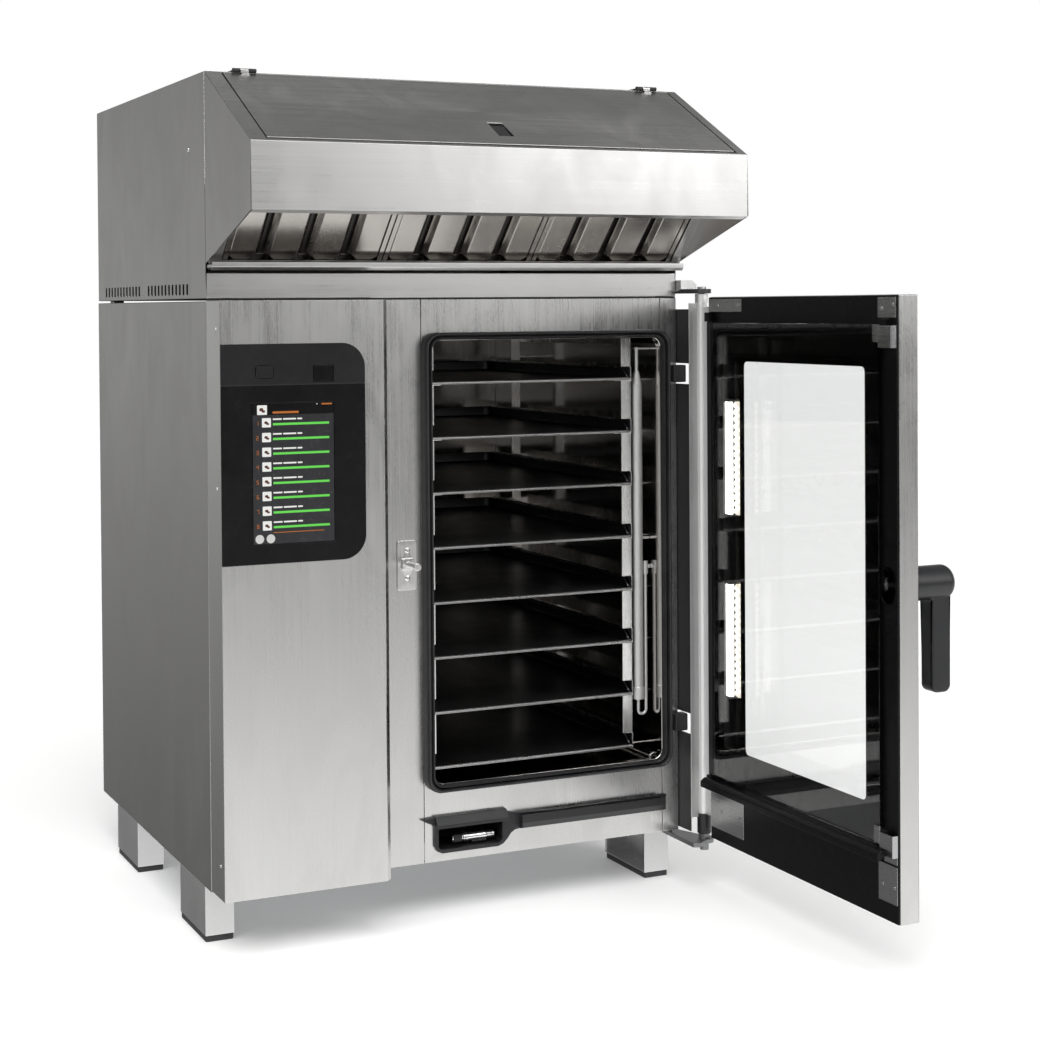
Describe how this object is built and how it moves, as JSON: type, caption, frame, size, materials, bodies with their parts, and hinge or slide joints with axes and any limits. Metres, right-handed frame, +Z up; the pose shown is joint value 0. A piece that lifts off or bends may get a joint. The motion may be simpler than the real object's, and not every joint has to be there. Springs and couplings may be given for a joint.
{
  "type": "combination oven",
  "caption": "Floor-standing or stacked bakery combi oven with control column, hinged glass door, baking trays on racks and a condensation hood with filters on top.",
  "frame": {"origin": "centre of the four feet fixing holes, on the floor", "axes": "+X to the right seen from the front, +Y to the back, +Z up; the door side faces -Y"},
  "size_m": [1.0267, 1.393, 1.4332],
  "materials": {
    "brushed_sheet": "brushed, satin",
    "bead_blast_sheet": "fine matte",
    "galvanised": "galvanised, dull",
    "polished_sheet": "polished",
    "pad_rubber": "matt",
    "seal_rubber": "satin",
    "control_glass": "gloss",
    "display": "gloss",
    "black_plastic": "fine grain",
    "dark_plastic": "satin",
    "mineral_wool": "fibrous",
    "motor_paint": "satin",
    "heater_sheath": "heat-darkened",
    "tray_coating": "dark non-stick coat over aluminium",
    "cast_bracket": "cast, plated",
    "brass": "machined",
    "bright_screw": "bright",
    "window_glass": "tinted, gloss",
    "light_cover": "frosted",
    "filter_mesh": "satin",
    "fan_sheet": "satin"
  },
  "bodies": {
    "cabinet": {"base_frame": "galvanised", "appliance_feet": "bead_blast_sheet", "foot_pads": "pad_rubber", "left_side_panel": "brushed_sheet", "right_side_panel": "brushed_sheet", "rear_panel": "galvanised", "front_frame": "brushed_sheet", "control_cover": "brushed_sheet", "control_bezel": "control_glass", "touch_screen": "display", "electronics_box": "galvanised", "cavity_liner": "polished_sheet", "cavity_gasket": "seal_rubber", "cavity_insulation": "mineral_wool", "strike_plate": "polished_sheet", "suction_panel": "polished_sheet", "fan_motor": "motor_paint", "heating_element": "heater_sheath", "left_rack": "polished_sheet", "right_rack": "polished_sheet", "core_probe": "brushed_sheet", "shower_recess": "black_plastic", "bumper_blocks": "seal_rubber", "hinge_brackets": "cast_bracket", "cavity_pipes": "fan_sheet", "water_inlets": "brass", "panel_screws": "bright_screw", "hood_body": "brushed_sheet", "hood_canopy": "brushed_sheet", "flap_hinges": "black_plastic", "hood_gutter": "brushed_sheet", "hood_blower": "galvanised"},
    "door": {"hinge_profile": "bead_blast_sheet", "door_shell": "brushed_sheet", "outer_glass": "window_glass", "door_inner_frame": "black_plastic", "latch_case": "black_plastic", "door_lights": "light_cover"},
    "inner_pane": {"inner_glass": "window_glass", "pane_hinge_bar": "dark_plastic"},
    "handle": {"door_handle": "dark_plastic", "latch_hook": "cast_bracket"},
    "flap": {"hood_flap": "brushed_sheet"},
    "flap_catch": {"flap_latch": "black_plastic"},
    "fan": {"fan_wheel": "fan_sheet"},
    "impeller": {"hood_impeller": "fan_sheet"},
    "button": {"power_button": "control_glass"},
    "port_flap": {"usb_flap": "black_plastic"},
    "shower": {"hand_shower": "bright_screw"},
    "tray_1": {"tray_1": "tray_coating"},
    "tray_2": {"tray_2": "tray_coating"},
    "tray_3": {"tray_3": "tray_coating"},
    "tray_4": {"tray_4": "tray_coating"},
    "tray_5": {"tray_5": "tray_coating"},
    "tray_6": {"tray_6": "tray_coating"},
    "tray_7": {"tray_7": "tray_coating"},
    "tray_8": {"tray_8": "tray_coating"},
    "filter_1": {"grease_filter_1": "filter_mesh"},
    "filter_2": {"grease_filter_2": "filter_mesh"},
    "filter_3": {"grease_filter_3": "filter_mesh"}
  },
  "joints": [
    {"name": "door_hinge", "type": "hinge", "parent": "cabinet", "child": "door", "pos_m": [0.4675, -0.3715, 0.6], "axis": [0, 0, 1], "range_deg": [-90, 60]},
    {"name": "inner_pane_hinge", "type": "hinge", "parent": "door", "child": "inner_pane", "pos_m": [0.4545, -0.4155, 0.6], "axis": [0, 0, -1], "range_deg": [0, 45]},
    {"name": "handle_turn", "type": "hinge", "parent": "door", "child": "handle", "pos_m": [0.5025, -0.9105, 0.608], "axis": [1, 0, 0], "range_deg": [0, 90]},
    {"name": "flap_hinge", "type": "hinge", "parent": "cabinet", "child": "flap", "pos_m": [0, -0.33482, 1.42981], "axis": [-1, 0, 0], "range_deg": [0, 75]},
    {"name": "flap_catch_turn", "type": "hinge", "parent": "flap", "child": "flap_catch", "pos_m": [0.0085, -0.49113, 1.33519], "axis": [-1, 0, 0], "range_deg": [0, 30]},
    {"name": "fan_spin", "type": "hinge", "parent": "cabinet", "child": "fan", "pos_m": [-0.1075, 0.0245, 0.608], "axis": [1, 0, 0], "continuous": true},
    {"name": "impeller_spin", "type": "hinge", "parent": "cabinet", "child": "impeller", "pos_m": [0, 0.0445, 1.27], "axis": [0, 0, 1], "continuous": true},
    {"name": "button_press", "type": "slide", "parent": "cabinet", "child": "button", "axis": [0, 1, 0], "range_m": [0, 0.0015], "stiffness_N_per_m": 800},
    {"name": "port_flap_hinge", "type": "hinge", "parent": "cabinet", "child": "port_flap", "pos_m": [-0.2645, -0.4066, 0.9496], "axis": [-1, 0, 0], "range_deg": [0, 90]},
    {"name": "shower_pull", "type": "slide", "parent": "cabinet", "child": "shower", "axis": [0, -1, 0], "range_m": [0, 0.12]},
    {"name": "tray_1_slide", "type": "slide", "parent": "cabinet", "child": "tray_1", "axis": [0, -1, 0], "range_m": [0, 0.45]},
    {"name": "tray_2_slide", "type": "slide", "parent": "cabinet", "child": "tray_2", "axis": [0, -1, 0], "range_m": [0, 0.45]},
    {"name": "tray_3_slide", "type": "slide", "parent": "cabinet", "child": "tray_3", "axis": [0, -1, 0], "range_m": [0, 0.45]},
    {"name": "tray_4_slide", "type": "slide", "parent": "cabinet", "child": "tray_4", "axis": [0, -1, 0], "range_m": [0, 0.45]},
    {"name": "tray_5_slide", "type": "slide", "parent": "cabinet", "child": "tray_5", "axis": [0, -1, 0], "range_m": [0, 0.45]},
    {"name": "tray_6_slide", "type": "slide", "parent": "cabinet", "child": "tray_6", "axis": [0, -1, 0], "range_m": [0, 0.45]},
    {"name": "tray_7_slide", "type": "slide", "parent": "cabinet", "child": "tray_7", "axis": [0, -1, 0], "range_m": [0, 0.45]},
    {"name": "tray_8_slide", "type": "slide", "parent": "cabinet", "child": "tray_8", "axis": [0, -1, 0], "range_m": [0, 0.45]},
    {"name": "filter_1_lift", "type": "slide", "parent": "cabinet", "child": "filter_1", "axis": [0, -0.7071, 0.7071], "range_m": [0, 0.012]},
    {"name": "filter_2_lift", "type": "slide", "parent": "cabinet", "child": "filter_2", "axis": [0, -0.7071, 0.7071], "range_m": [0, 0.012]},
    {"name": "filter_3_lift", "type": "slide", "parent": "cabinet", "child": "filter_3", "axis": [0, -0.7071, 0.7071], "range_m": [0, 0.012]}
  ]
}
